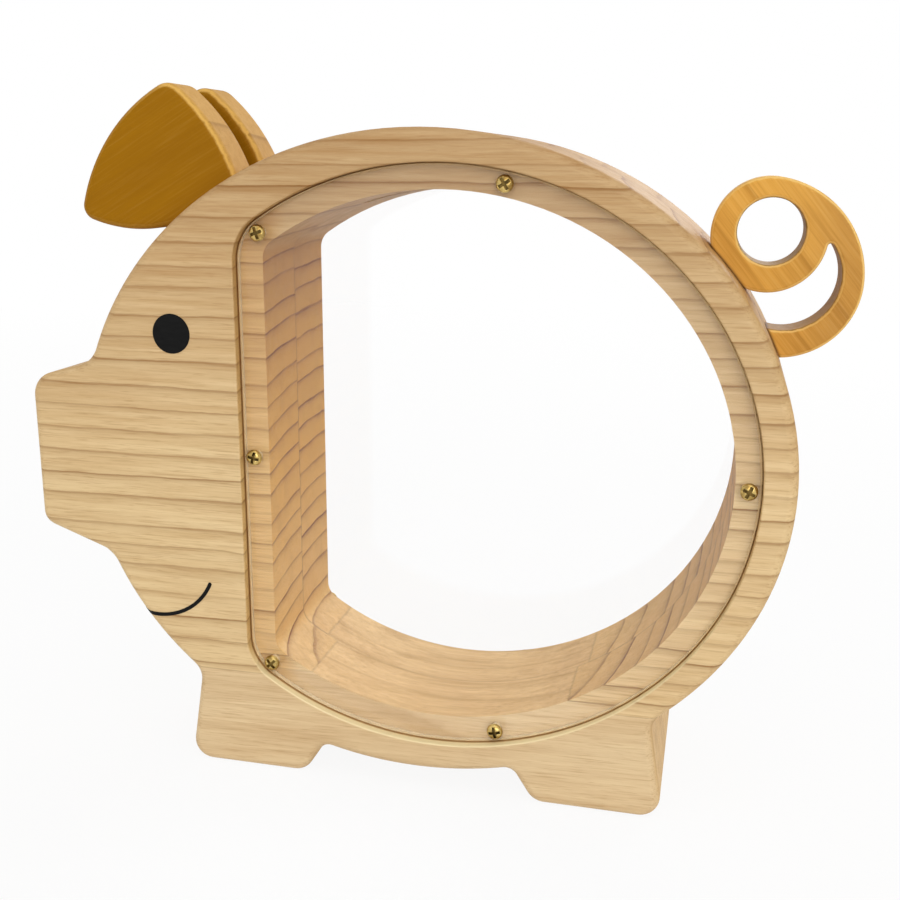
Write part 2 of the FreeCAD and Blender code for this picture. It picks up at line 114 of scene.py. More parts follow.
def scaled(tree, vector, scale):
    """A vector with each axis times its own scale."""
    return vectors(tree, "MULTIPLY", vector, scale)


def ramp(tree, value, stops):
    """A Color Ramp as a curve of single numbers: stops are (place, level)."""
    node = tree.nodes.new("ShaderNodeValToRGB")
    elements = node.color_ramp.elements
    while len(elements) < len(stops):
        elements.new(0.5)
    for element, (place, level) in zip(elements, stops):
        element.position = place
        element.color = (level, level, level, 1.0)
    feed(tree, node.inputs[0], value)
    return node.outputs[0]


def span(tree, value, low, high, new_low, new_high):
    """A Map Range from one span to another, clamped at both ends."""
    node = tree.nodes.new("ShaderNodeMapRange")
    for socket, level in zip(node.inputs, (value, low, high, new_low, new_high)):
        feed(tree, socket, level)
    return node.outputs[0]


def both(tree, first, second):
    """The product of two levels, such as two masks."""
    return sums(tree, "MULTIPLY", first, second)


def blend(tree, share, first, second, way="MIX"):
    """A colour Mix node's result."""
    node = tree.nodes.new("ShaderNodeMix")
    node.data_type = "RGBA"
    node.blend_type = way
    feed(tree, node.inputs[0], share)
    feed(tree, node.inputs[6], first)
    feed(tree, node.inputs[7], second)
    return node.outputs[2]


def mix_shaders(tree, share, first, second, output):
    """Sends a mix of two shaders to the tree's output node."""
    choose = tree.nodes.new("ShaderNodeMixShader")
    feed(tree, choose.inputs[0], share)
    tree.links.new(first.outputs[0], choose.inputs[1])
    tree.links.new(second.outputs[0], choose.inputs[2])
    tree.links.new(choose.outputs[0], tree.nodes[output].inputs[0])


def raise_surface(tree, shader, height, strength, depth):
    """Puts a fine relief on the shader's surface."""
    node = tree.nodes.new("ShaderNodeBump")
    node.inputs["Strength"].default_value = strength
    node.inputs["Distance"].default_value = depth
    feed(tree, node.inputs["Height"], height)
    tree.links.new(node.outputs[0], shader.inputs["Normal"])


# A figure is a noise in a finish: its waves per unit of length along X, Y and Z, its
# detail and roughness, the noise levels between which it fades in, and its full strength.
Figure = namedtuple("Figure", "waves detail roughness shows share", defaults=((0.3, 0.7), 1.0))


def figure_noise(tree, vector, figure):
    """A figure's Noise Texture."""
    node = tree.nodes.new("ShaderNodeTexNoise")
    feed(tree, node.inputs["Vector"], scaled(tree, vector, figure.waves))
    node.inputs["Scale"].default_value = 1.0
    node.inputs["Detail"].default_value = figure.detail
    node.inputs["Roughness"].default_value = figure.roughness
    return node


def figure_level(tree, vector, figure):
    """The noise level of a figure, from 0 to 1."""
    return figure_noise(tree, vector, figure).outputs[0]


def figure_share(tree, level, figure, strength=1.0):
    """How strongly a figure shows where its noise has the given level."""
    return span(tree, level, *figure.shows, 0.0, figure.share * strength)


def grain_space(tree, pith, turn):
    """Object place in millimetres, X along the grain and the pith on the X axis."""
    place = tree.nodes.new("ShaderNodeTexCoord")
    mapping = tree.nodes.new("ShaderNodeMapping")
    mapping.inputs["Scale"].default_value = (MM_PER_METRE, MM_PER_METRE, MM_PER_METRE)
    mapping.inputs["Rotation"].default_value = turn
    mapping.inputs["Location"].default_value = (0.0, -pith[0], -pith[1])
    tree.links.new(place.outputs["Object"], mapping.inputs["Vector"])
    return place, mapping.outputs[0]


# Growth rings, in millimetres.  A year's shades run from its start to its end.
RING_SWAY = Figure(waves=(0.006, 0.016, 0.016), detail=1.0, roughness=0.5)
RING_RIPPLE = Figure(waves=(0.045, 0.10, 0.10), detail=4.0, roughness=0.55)
RING_PATCH = Figure(waves=(0.02, 0.12, 0.12), detail=2.0, roughness=0.5)
YEAR_WAVES = 0.06
YEAR_SHADES = ((0.0, 1.0), (0.025, 0.12), (0.08, 0.0), (0.50, 0.02),
               (0.74, 0.16), (0.90, 0.42), (0.96, 1.0))
MIDDLE_LEVEL = (0.5, 0.5, 0.5)
PALEST_YEAR = 0.36
PALEST_PATCH = 0.55


def ring_shift(tree, log, figure, reach):
    """A sideways bend of the rings, half the reach to either side."""
    bend = figure_noise(tree, log, figure).outputs["Color"]
    bend = vectors(tree, "SUBTRACT", bend, MIDDLE_LEVEL)
    return scaled(tree, bend, (0.0, reach, reach))


def growth_rings(tree, log, spacing, start, wander, ripple, unevenness=0.9):
    """Darkness of the late wood, from 0 to 1."""
    sway = ring_shift(tree, log, RING_SWAY, wander)
    wave = ring_shift(tree, log, RING_RIPPLE, ripple)
    bent = vectors(tree, "ADD", log, vectors(tree, "ADD", sway, wave))
    radius = length_of(tree, scaled(tree, bent, (0.0, 1.0, 1.0)))
    slow = tree.nodes.new("ShaderNodeTexNoise")
    slow.noise_dimensions = "1D"
    slow.inputs["Scale"].default_value = YEAR_WAVES
    slow.inputs["Detail"].default_value = 1.0
    feed(tree, slow.inputs["W"], radius)
    years = sums(tree, "MULTIPLY_ADD", radius, 1 / spacing, start)
    years = sums(tree, "MULTIPLY_ADD", slow.outputs[0], unevenness, years)
    late = ramp(tree, sums(tree, "FRACT", years), YEAR_SHADES)
    dice = tree.nodes.new("ShaderNodeTexWhiteNoise")
    dice.noise_dimensions = "1D"
    feed(tree, dice.inputs["W"], sums(tree, "FLOOR", years))
    dry = span(tree, dice.outputs["Value"], 0.0, 1.0, PALEST_YEAR, 1.0)
    patch = span(tree, figure_level(tree, log, RING_PATCH), *RING_PATCH.shows, PALEST_PATCH, 1.0)
    return both(tree, both(tree, late, dry), patch)


# Places on the body that its finishes go by.
FRONT_JOINT_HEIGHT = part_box("front_foot_board")[1].z
REAR_JOINT_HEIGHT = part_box("rear_foot_board")[1].z

# The body's oval outline, which the ears and the tail are glued to.
BODY_HALF_LENGTH = 0.0860
BODY_HALF_HEIGHT = 0.0773
BODY_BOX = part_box("front_upper_board")
BODY_MIDDLE = (BODY_BOX[1].x - BODY_HALF_LENGTH, 0.0, BODY_BOX[1].z - BODY_HALF_HEIGHT)
BODY_STRETCH = (1 / BODY_HALF_LENGTH, 0.0, 1 / BODY_HALF_HEIGHT)

# The rebate that each pane sits in: an oval with one straight side at the head.
PANE_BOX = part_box("front_window")
PANE_FIT = 0.0003
REBATE_HEAD = PANE_BOX[0].x - PANE_FIT
REBATE_HALF_LENGTH = 0.0742
REBATE_HALF_HEIGHT = (PANE_BOX[1].z - PANE_BOX[0].z) / 2 + PANE_FIT
REBATE_MIDDLE = (PANE_BOX[1].x + PANE_FIT - REBATE_HALF_LENGTH, 0.0,
                 (PANE_BOX[0].z + PANE_BOX[1].z) / 2)
REBATE_STRETCH = (1 / REBATE_HALF_LENGTH, 0.0, 1 / REBATE_HALF_HEIGHT)
PANE_FACE = -PANE_BOX[0].y
PANE_SEAT = -PANE_BOX[1].y

# How far each mask reaches: ovals as shares of the rebate, the rest in metres.
MONEY_SPACE_OVAL = 0.97
REBATE_OVAL = 1.05
REBATE_HEAD_MARGIN = 0.003
BEHIND_LEDGE = 0.0001
ABOVE_SEAT = 0.00005
BELOW_FACE = 0.0002
ABOVE_FACE = 0.0003
LEDGE_MARGIN = 0.0003
LEDGE_FULL = 0.008
LEDGE_END = 0.012


def glue_line(tree, distance, half_width):
    """1 on a joint and 0 a hair away from it."""
    return span(tree, sums(tree, "ABSOLUTE", distance), 0.0, half_width, 1.0, 0.0)


def window_oval(tree, place):
    """Distance from the middle of the window as a share of the rebate's reach."""
    offset = vectors(tree, "SUBTRACT", place.outputs["Object"], REBATE_MIDDLE)
    return length_of(tree, scaled(tree, offset, REBATE_STRETCH))


def money_space_wall(tree, oval, depth):
    """1 on the walls round the money space, behind the ledges, and 0 elsewhere."""
    return both(tree, sums(tree, "LESS_THAN", oval, MONEY_SPACE_OVAL),
                sums(tree, "LESS_THAN", depth, PANE_SEAT - BEHIND_LEDGE))


def in_window(tree, oval, across):
    """1 within the outline of the rebate and 0 elsewhere."""
    return both(tree, sums(tree, "LESS_THAN", oval, REBATE_OVAL),
                sums(tree, "GREATER_THAN", across, REBATE_HEAD - REBATE_HEAD_MARGIN))


def rebate_walls(tree, window, depth):
    """Two masks: the rebate walls beside the panes, and the lip above their faces."""
    below_face = span(tree, depth, PANE_FACE - BELOW_FACE, PANE_FACE + ABOVE_FACE, 1.0, 0.0)
    above_seat = sums(tree, "GREATER_THAN", depth, PANE_SEAT + ABOVE_SEAT)
    beside_pane = both(tree, window, both(tree, below_face, above_seat))
    return beside_pane, both(tree, window, sums(tree, "SUBTRACT", 1.0, below_face))


def head_ledge(tree, window, across, depth):
    """1 on the straight ledge behind each pane, at the head, and 0 elsewhere."""
    beside_head = span(tree, across, REBATE_HEAD + LEDGE_FULL, REBATE_HEAD + LEDGE_END, 1.0, 0.0)
    from_seat = sums(tree, "ABSOLUTE", sums(tree, "SUBTRACT", depth, PANE_SEAT))
    on_ledge = both(tree, beside_head, sums(tree, "LESS_THAN", from_seat, LEDGE_MARGIN))
    return both(tree, window, on_ledge)


# Colours of the pine.
PINE = colour(235, 206, 154)
PALE_PINE = colour(237, 212, 169)
# Darker, browner tone that the boards take towards the top of the body.
TOP_TONE_PINE = colour(166, 122, 70)
PINK_PINE = colour(218, 180, 128)
LATE_WOOD = colour(136, 87, 28)
FAINT_LATE_WOOD = colour(182, 142, 92)
FIBRE_SHADE = colour(170, 126, 76)
FIBRE_LIGHT = colour(240, 216, 172)
SAWN_PINE = colour(254, 240, 200)
# Tone of end grain, also painted as shade on the upper walls of the money space.
END_GRAIN_AND_SHADE = colour(238, 206, 108)
# Glue lines between boards, and painted contact shadow where the ears and tail meet the body.
SEAM_AND_SHADOW_BROWN = colour(120, 80, 42)
# Painted shade in the narrow gap between each pane and its rebate wall.
GAP_SHADE_BROWN = colour(132, 84, 38)
LEDGE_PINE = colour(250, 237, 214)
# Painted highlight on the rebate's lip above each pane, where it faces up.
LIP_HIGHLIGHT_PINE = colour(255, 236, 186)

# Figures of the pine, with waves per millimetre.
PINE_FIBRE = Figure(waves=(0.026, 0.60, 0.60), detail=5.0, roughness=0.68)
PINE_HAIR = Figure((0.075, 2.4, 2.4), 3.0, 0.65, shows=(0.52, 0.72), share=0.50)
PINE_FLECK = Figure((0.16, 3.4, 3.4), 2.0, 0.6, shows=(0.60, 0.76), share=0.45)
PINE_CLOUD = Figure((0.010, 0.035, 0.035), 2.0, 0.5, shows=(0.35, 0.65), share=0.35)
PINE_STREAK = Figure((0.007, 0.20, 0.20), 3.0, 0.55, shows=(0.50, 0.72))

# Shares of the pine's tones.  A pair runs from the first to the second value.
FIBRE_TO_END_GRAIN = (0.32, 0.10)
TOP_TONE_HEIGHTS = (0.080, 0.160)
TOP_TONE_SHARE = 0.95
WALL_SHOWS = (0.0, 0.7)
WALL_RING_BOOST = 1.45
WALL_SHADE_HEIGHTS = (0.046, 0.080)
WALL_SHADE_SHARES = (0.26, 0.62)
END_GRAIN_SHARE = 0.15
SAWN_TURN = (0.2, 0.7)
SAWN_SHARE = 0.6
LAMINATION_HALF_WIDTH = 0.00035
EDGE_JOINT_HALF_WIDTH = 0.00025
EDGE_JOINT_SHARE = 0.38
RAGGED_LEVELS = (0.35, 0.65)
RAGGED_SHARES = (0.35, 1.0)
GAP_SHADE_TURN = (0.1, 0.6)
GAP_SHADE_SHARES = (0.80, 0.60)
LIP_HIGHLIGHT_TURN = (0.2, 0.7)
LIP_HIGHLIGHT_SHARE = 0.85

# The lacquered surface.
SHINE_LEVELS = (0.25, 0.75)
PINE_ROUGHNESS = (0.62, 0.46)
PINE_SPECULAR = 0.25
FIBRE_RELIEF = (0.5, 0.1)
RING_RELIEF = 0.8
HAIR_RELIEF = 0.35
FLECK_RELIEF = 0.25


def pine(name, pith, spacing, start, early, late_tone, joint_height, lean=0.0,
         wander=5.0, ripple=1.5, ring_strength=1.0, streaks=0.15, seam_strength=0.8):
    """Clear-lacquered pine sawn along X, with its rings about the given pith."""
    finish, tree, shader = new_finish(name)
    place, log = grain_space(tree, pith, (0.0, lean, 0.0))
    fibre = figure_level(tree, log, PINE_FIBRE)
    hair = figure_level(tree, log, PINE_HAIR)
    fleck = figure_level(tree, log, PINE_FLECK)
    cloud = figure_level(tree, log, PINE_CLOUD)
    streak = figure_level(tree, log, PINE_STREAK)
    along_grain, outward, upward = axes(tree, place.outputs["Normal"])
    end_grain = sums(tree, "POWER", sums(tree, "ABSOLUTE", along_grain), 2.0)
    across, sideways, height = axes(tree, place.outputs["Object"])
    depth = sums(tree, "ABSOLUTE", sideways)
    oval = window_oval(tree, place)
    window = in_window(tree, oval, across)
    inner_wall = both(tree, money_space_wall(tree, oval, depth), end_grain)
    boost = span(tree, inner_wall, *WALL_SHOWS, ring_strength, WALL_RING_BOOST * ring_strength)
    rings = both(tree, growth_rings(tree, log, spacing, start, wander, ripple), boost)

    # The pine grows darker and browner towards the top.
    tone = blend(tree, span(tree, height, *TOP_TONE_HEIGHTS, 0.0, TOP_TONE_SHARE), early, TOP_TONE_PINE)
    tone = blend(tree, figure_share(tree, cloud, PINE_CLOUD), tone, PINK_PINE)
    tone = blend(tree, figure_share(tree, streak, PINE_STREAK, streaks), tone, late_tone)
    fibre_share = span(tree, end_grain, 0.0, 1.0, *FIBRE_TO_END_GRAIN)
    tone = blend(tree, figure_share(tree, fibre, PINE_FIBRE),
                 blend(tree, fibre_share, tone, FIBRE_SHADE),
                 blend(tree, fibre_share, tone, FIBRE_LIGHT))
    tone = blend(tree, figure_share(tree, hair, PINE_HAIR), tone, FIBRE_SHADE)
    tone = blend(tree, figure_share(tree, fleck, PINE_FLECK), tone, FIBRE_SHADE)
    tone = blend(tree, rings, tone, late_tone)

    sawn = span(tree, sums(tree, "ABSOLUTE", outward), *SAWN_TURN, SAWN_SHARE, 0.0)
    tone = blend(tree, sawn, tone, SAWN_PINE, "MULTIPLY")
    # Painted shade: the money space's end-grain walls darken more towards the top.
    wall_shade = span(tree, height, *WALL_SHADE_HEIGHTS, *WALL_SHADE_SHARES)
    grain_and_shade = sums(tree, "ADD", both(tree, inner_wall, wall_shade),
                      both(tree, end_grain, END_GRAIN_SHARE))
    tone = blend(tree, grain_and_shade, tone, END_GRAIN_AND_SHADE, "MULTIPLY")

    lamination = both(tree, glue_line(tree, sideways, LAMINATION_HALF_WIDTH), seam_strength)
    from_joint = sums(tree, "SUBTRACT", height, joint_height)
    edge_joint = both(tree, glue_line(tree, from_joint, EDGE_JOINT_HALF_WIDTH), EDGE_JOINT_SHARE)
    ragged = span(tree, hair, *RAGGED_LEVELS, *RAGGED_SHARES)
    seam = both(tree, sums(tree, "MAXIMUM", lamination, edge_joint), ragged)
    tone = blend(tree, seam, tone, SEAM_AND_SHADOW_BROWN)

    tone = blend(tree, head_ledge(tree, window, across, depth), tone, LEDGE_PINE, "MULTIPLY")
    beside_pane, lip = rebate_walls(tree, window, depth)
    # Painted shade on the rebate walls beside the panes, weaker where a wall faces up to the
    # light.
    gap_shade = both(tree, beside_pane, span(tree, upward, *GAP_SHADE_TURN, *GAP_SHADE_SHARES))
    tone = blend(tree, gap_shade, tone, GAP_SHADE_BROWN)
    # Painted highlight on the lip above the panes, strongest where it faces up.
    lip_highlight = both(tree, lip, span(tree, upward, *LIP_HIGHLIGHT_TURN, 0.0, LIP_HIGHLIGHT_SHARE))
    tone = blend(tree, lip_highlight, tone, LIP_HIGHLIGHT_PINE)
    tree.links.new(tone, shader.inputs["Base Color"])

    feed(tree, shader.inputs["Roughness"], span(tree, fibre, *SHINE_LEVELS, *PINE_ROUGHNESS))
    shader.inputs["Specular IOR Level"].default_value = PINE_SPECULAR
    relief = both(tree, fibre, span(tree, end_grain, 0.0, 1.0, *FIBRE_RELIEF))
    relief = sums(tree, "MULTIPLY_ADD", rings, RING_RELIEF, relief)
    relief = sums(tree, "MULTIPLY_ADD", hair, HAIR_RELIEF, relief)
    relief = sums(tree, "MULTIPLY_ADD", fleck, FLECK_RELIEF, relief)
    raise_surface(tree, shader, relief, strength=0.48, depth=0.00030)
    return finish


# The coloured ears and tail.  Rings and waves are in millimetres.
OCHRE_PITH = (-60.0, -260.0)
OCHRE_RINGS = {"start": 0.2, "wander": 4.0, "ripple": 0.8, "unevenness": 0.3}
OCHRE_FIBRE = Figure((0.02, 0.6, 0.6), 4.0, 0.6, share=0.20)
OCHRE_PORES = Figure((0.09, 2.4, 2.4), 2.0, 0.55, shows=(0.58, 0.74), share=0.35)
OCHRE_CLOUD = Figure((0.03, 0.07, 0.07), 2.0, 0.5, share=0.35)
OCHRE_RUB = Figure((0.25, 0.5, 0.5), 3.0, 0.6)
OCHRE_HAIR = Figure((0.05, 2.0, 2.0), 3.0, 0.6, shows=(0.50, 0.72), share=0.45)
OCHRE_PALE_HAIR = OCHRE_HAIR._replace(shows=(0.50, 0.30), share=0.35)
BARE_FIBRE = OCHRE_FIBRE._replace(share=0.45)
BARE_RING_SHARE = 0.75
# Painted highlight: the pale edge line and sides show mostly on edges facing up and tailwards.
LIT_SIDE_LIFT = 0.6
LIT_SIDE_LEVELS = (-0.15, 0.35)
RUB_REACH = 2.2
KEPT_TURN = (0.80, 0.95)
BARE_TURN = (0.66, 0.45)
CUT_MARGIN = 0.0009
CUT_FULL = 0.6
CUT_SHARE = 0.8
# Painted contact shadow on the ears and tail, along the body's outline.
CONTACT_SHADOW_OVALS = (1.003, 1.008)
CONTACT_SHADOW_SHARE = 0.85
OCHRE_ROUGHNESS = (0.60, 0.48)
OCHRE_SPECULAR = 0.08
OCHRE_RING_RELIEF = 0.5
OCHRE_FIBRE_RELIEF = 0.5
OCHRE_PORE_RELIEF = 0.3
# Dull, dark tone of the tail's cut walls: partly sawn wood, partly painted shade.
SAWN_WALL_AND_SHADE = colour(152, 116, 60)
# Tone that the tail grows duller and darker by, towards +X.
DULLING_TONE = colour(225, 222, 235)

# The tail's round cuts as ((x, z), radius), and where it grows duller and darker along X.
TAIL_HOLE = ((0.07784, 0.13804), 0.0074)
TAIL_GAP = ((0.08154, 0.12824), 0.0121)
TAIL_DULLING = (0.078, 0.093)


def near_circle(tree, place, centre, radius):
    """1 on the wall of an upright round cut about (x, z), 0 away from it."""
    offset = vectors(tree, "SUBTRACT", place.outputs["Object"], (centre[0], 0.0, centre[1]))
    reach = length_of(tree, scaled(tree, offset, (1.0, 0.0, 1.0)))
    away = sums(tree, "ABSOLUTE", sums(tree, "SUBTRACT", reach, radius))
    return span(tree, away, CUT_MARGIN * CUT_FULL, CUT_MARGIN, 1.0, 0.0)


def coloured_wood(name, turn, face, edge, wear_and_highlight, line, spacing, line_strength, least_lit,
                  cuts=(), dulling_span=()):
    """Coloured wood: a coloured face, paler sides and a rubbed line between them.
    The pale sides and the line are partly rubbed, unpainted wood and partly painted
    highlight, so they show mostly on the upper and tail-side edges, where light
    falls; the shaded edges keep more of their paint.  The walls of inside cuts,
    given as (centre, radius), are dull and dark, partly sawn wood and partly
    painted shade, and a painted contact shadow darkens the face where it meets the
    body.  The face grows duller and darker along X, from the first to the second
    place in dulling_span."""
    finish, tree, shader = new_finish(name)
    place, log = grain_space(tree, OCHRE_PITH, (0.0, turn, 0.0))
    rings = growth_rings(tree, log, spacing, **OCHRE_RINGS)
    fibre = figure_level(tree, log, OCHRE_FIBRE)
    pores = figure_level(tree, log, OCHRE_PORES)
    cloud = figure_level(tree, log, OCHRE_CLOUD)
    hair = figure_level(tree, log, OCHRE_HAIR)
    normal_x, normal_y, normal_z = axes(tree, place.outputs["Normal"])
    facing = sums(tree, "ABSOLUTE", normal_y)
    # Painted highlight: edges that face up and towards the tail are the lit ones.
    lit_side = sums(tree, "MULTIPLY_ADD", normal_z, LIT_SIDE_LIFT, normal_x)
    lit_side = span(tree, lit_side, *LIT_SIDE_LEVELS, least_lit, 1.0)
    rubbed = sums(tree, "SUBTRACT", figure_level(tree, log, OCHRE_RUB), 0.5)
    rubbed = both(tree, rubbed, sums(tree, "SUBTRACT", 1.0, facing))
    turned = sums(tree, "MULTIPLY_ADD", rubbed, RUB_REACH, facing)

    painted = blend(tree, figure_share(tree, cloud, OCHRE_CLOUD), face, line)
    painted = blend(tree, figure_share(tree, fibre, OCHRE_FIBRE), painted, line)
    painted = blend(tree, both(tree, rings, line_strength), painted, line)
    dark_hair = figure_share(tree, hair, OCHRE_HAIR, line_strength)
    painted = blend(tree, dark_hair, painted, line)
    pale_hair = figure_share(tree, hair, OCHRE_PALE_HAIR, line_strength)
    painted = blend(tree, pale_hair, painted, wear_and_highlight)
    # The face grows duller and darker along X.
    if dulling_span:
        across = axes(tree, place.outputs["Object"])[0]
        dulling = span(tree, across, *dulling_span, 0.0, 1.0)
        painted = blend(tree, dulling, painted, DULLING_TONE, "MULTIPLY")

    bare_and_lit = blend(tree, figure_share(tree, fibre, BARE_FIBRE), edge, wear_and_highlight)
    bare_and_lit = blend(tree, both(tree, rings, BARE_RING_SHARE), bare_and_lit, line)
    bare_and_lit = blend(tree, figure_share(tree, pores, OCHRE_PORES), bare_and_lit, line)
    kept = span(tree, turned, *KEPT_TURN, 0.0, 1.0)
    kept = sums(tree, "MAXIMUM", kept, sums(tree, "SUBTRACT", 1.0, lit_side))
    tone = blend(tree, kept, wear_and_highlight, painted)
    # The pale sides: partly unpainted wood, partly painted highlight on the lit edges.
    bare_and_lit_share = both(tree, span(tree, turned, *BARE_TURN, 0.0, 1.0), lit_side)
    tone = blend(tree, bare_and_lit_share, tone, bare_and_lit)
    # The walls of inside cuts: partly sawn wood, partly painted shade.
    for centre, radius in cuts:
        wall = near_circle(tree, place, centre, radius)
        wall = both(tree, wall, span(tree, turned, *BARE_TURN, 0.0, CUT_SHARE))
        tone = blend(tree, wall, tone, SAWN_WALL_AND_SHADE)
    # Painted contact shadow where the ear or tail meets the body's outline.
    offset = vectors(tree, "SUBTRACT", place.outputs["Object"], BODY_MIDDLE)
    body_oval = length_of(tree, scaled(tree, offset, BODY_STRETCH))
    contact_shadow = span(tree, body_oval, *CONTACT_SHADOW_OVALS, CONTACT_SHADOW_SHARE, 0.0)
    tone = blend(tree, contact_shadow, tone, SEAM_AND_SHADOW_BROWN)
    tree.links.new(tone, shader.inputs["Base Color"])

    feed(tree, shader.inputs["Roughness"], span(tree, fibre, *SHINE_LEVELS, *OCHRE_ROUGHNESS))
    shader.inputs["Specular IOR Level"].default_value = OCHRE_SPECULAR
    relief = both(tree, rings, OCHRE_RING_RELIEF)
    relief = sums(tree, "MULTIPLY_ADD", fibre, OCHRE_FIBRE_RELIEF, relief)
    relief = sums(tree, "MULTIPLY_ADD", pores, OCHRE_PORE_RELIEF, relief)
    raise_surface(tree, shader, relief, strength=0.30, depth=0.0002)
    return finish


# Beech dowels, with waves per millimetre.
DOWEL_FIBRE = Figure(waves=(0.05, 1.2, 1.2), detail=3.0, roughness=0.6)
DOWEL_GRAIN_TURN = 0.7
DOWEL_SHADE = colour(196, 158, 112)
DOWEL_LIGHT = colour(222, 190, 146)
DOWEL_ROUGHNESS = (0.7, 0.55)


def plain_dowel(name):
    """Bare beech dowel rod."""
    finish, tree, shader = new_finish(name)
    _, log = grain_space(tree, (0.0, 0.0), (0.0, DOWEL_GRAIN_TURN, 0.0))
    fibre = figure_level(tree, log, DOWEL_FIBRE)
    tone = blend(tree, figure_share(tree, fibre, DOWEL_FIBRE), DOWEL_SHADE, DOWEL_LIGHT)
    tree.links.new(tone, shader.inputs["Base Color"])
    feed(tree, shader.inputs["Roughness"],
         span(tree, fibre, *DOWEL_FIBRE.shows, *DOWEL_ROUGHNESS))
    raise_surface(tree, shader, fibre, strength=0.3, depth=0.0001)
    return finish


# Acrylic, brass and paint, with waves per metre.
SAW_MARKS = Figure(waves=(900.0, 2600.0, 900.0), detail=2.0, roughness=0.5)
SAWN_EDGE_ROUGHNESS = (0.12, 0.25)
CUT_EDGE_TURN = (0.75, 0.95)
LOWER_EDGE_TURN = (-0.8, -0.3)
CLEAR = colour(255, 255, 255)
CUT_EDGE_CREAM = colour(246, 226, 184)
# Painted highlight: the lower cut edge is paler than the other cut edges.
LOWER_EDGE_HIGHLIGHT = colour(255, 238, 196)
CUT_EDGE_CLEARNESS = 0.50
ACRYLIC_BENDING = 1.33
TURNING_MARKS = Figure(waves=(2200.0, 9000.0, 2200.0), detail=3.0, roughness=0.6)
TARNISH = Figure(waves=(700.0, 700.0, 700.0), detail=3.0, roughness=0.5, shows=(0.35, 0.68))
BRASS_ROUGHNESS = (0.20, 0.38)
BRUSH_STROKES = Figure(waves=(350.0, 350.0, 1500.0), detail=3.0, roughness=0.5)
BLACK = colour(9, 9, 9)
STROKE_BLACK = colour(15, 15, 15)
PAINT_ROUGHNESS = (0.58, 0.46)
PAINT_SPECULAR = 0.12


def clear_acrylic(name):
    """Clear sheet with pale, sawn edges; lamps shine through it.
    The lower edge is paler still: a painted highlight.
    """
    finish, tree, shader = new_finish(name)
    place = tree.nodes.new("ShaderNodeTexCoord")
    _, normal_y, normal_z = axes(tree, place.outputs["Normal"])
    cut_edge = span(tree, sums(tree, "ABSOLUTE", normal_y), *CUT_EDGE_TURN, 1.0, 0.0)
    # Painted highlight on the pane's lower cut edge.
    lower_edge_highlight = both(tree, cut_edge, span(tree, normal_z, *LOWER_EDGE_TURN, 1.0, 0.0))
    saw_marks = figure_level(tree, place.outputs["Object"], SAW_MARKS)
    sawn = span(tree, saw_marks, *SAW_MARKS.shows, *SAWN_EDGE_ROUGHNESS)
    feed(tree, shader.inputs["Roughness"], both(tree, cut_edge, sawn))
    tone = blend(tree, cut_edge, CLEAR, CUT_EDGE_CREAM)
    tone = blend(tree, lower_edge_highlight, tone, LOWER_EDGE_HIGHLIGHT)
    tree.links.new(tone, shader.inputs["Base Color"])
    clear = span(tree, cut_edge, 0.0, 1.0, 1.0, CUT_EDGE_CLEARNESS)
    feed(tree, shader.inputs["Transmission Weight"], clear)
    shader.inputs["IOR"].default_value = ACRYLIC_BENDING
    open_air = tree.nodes.new("ShaderNodeBsdfTransparent")
    rays = tree.nodes.new("ShaderNodeLightPath")
    mix_shaders(tree, rays.outputs["Is Shadow Ray"], shader, open_air, "Material Output")
    return finish


def brass(name, bright, dull):
    """Plated brass with fine turning marks and a little tarnish."""
    finish, tree, shader = new_finish(name)
    place = tree.nodes.new("ShaderNodeTexCoord")
    marks = figure_level(tree, place.outputs["Object"], TURNING_MARKS)
    stain = figure_level(tree, place.outputs["Object"], TARNISH)
    tone = blend(tree, figure_share(tree, stain, TARNISH), bright, dull)
    tree.links.new(tone, shader.inputs["Base Color"])
    shader.inputs["Metallic"].default_value = 1.0
    feed(tree, shader.inputs["Roughness"], span(tree, marks, *SHINE_LEVELS, *BRASS_ROUGHNESS))
    raise_surface(tree, shader, marks, strength=0.15, depth=0.00005)
    return finish


def black_paint(name):
    """Satin black brushed paint with faint brush marks."""
    finish, tree, shader = new_finish(name)
    place = tree.nodes.new("ShaderNodeTexCoord")
    strokes = figure_level(tree, place.outputs["Object"], BRUSH_STROKES)
    tone = blend(tree, figure_share(tree, strokes, BRUSH_STROKES), BLACK, STROKE_BLACK)
    tree.links.new(tone, shader.inputs["Base Color"])
    feed(tree, shader.inputs["Roughness"],
         span(tree, strokes, *BRUSH_STROKES.shows, *PAINT_ROUGHNESS))
    shader.inputs["Specular IOR Level"].default_value = PAINT_SPECULAR
    raise_surface(tree, shader, strokes, strength=0.08, depth=0.00005)
    return finish


# The finishes of this money box.  Piths, ring spacings, wander and ripple are millimetres.
pine_front = pine("front_board_pine", pith=(12.0, -60.0), spacing=5.6, start=0.30, early=PINE,
                  late_tone=LATE_WOOD, joint_height=FRONT_JOINT_HEIGHT)
pine_rear = pine("rear_board_pine", pith=(22.0, -90.0), spacing=5.9, start=0.75, early=PINE,
                 late_tone=LATE_WOOD, joint_height=REAR_JOINT_HEIGHT)
pine_foot_front = pine("front_foot_pine", pith=(-160.0, 10.0), spacing=10.5, start=0.45,
                       early=PALE_PINE, late_tone=FAINT_LATE_WOOD,
                       joint_height=FRONT_JOINT_HEIGHT, lean=0.03, wander=16.0, ripple=2.0,
                       ring_strength=0.55, streaks=0.45, seam_strength=0.3)
pine_foot_rear = pine("rear_foot_pine", pith=(180.0, 5.0), spacing=9.5, start=0.5,
                      early=PALE_PINE, late_tone=FAINT_LATE_WOOD,
                      joint_height=REAR_JOINT_HEIGHT, lean=-0.02, wander=16.0, ripple=2.0,
                      ring_strength=0.7, streaks=0.6, seam_strength=0.3)
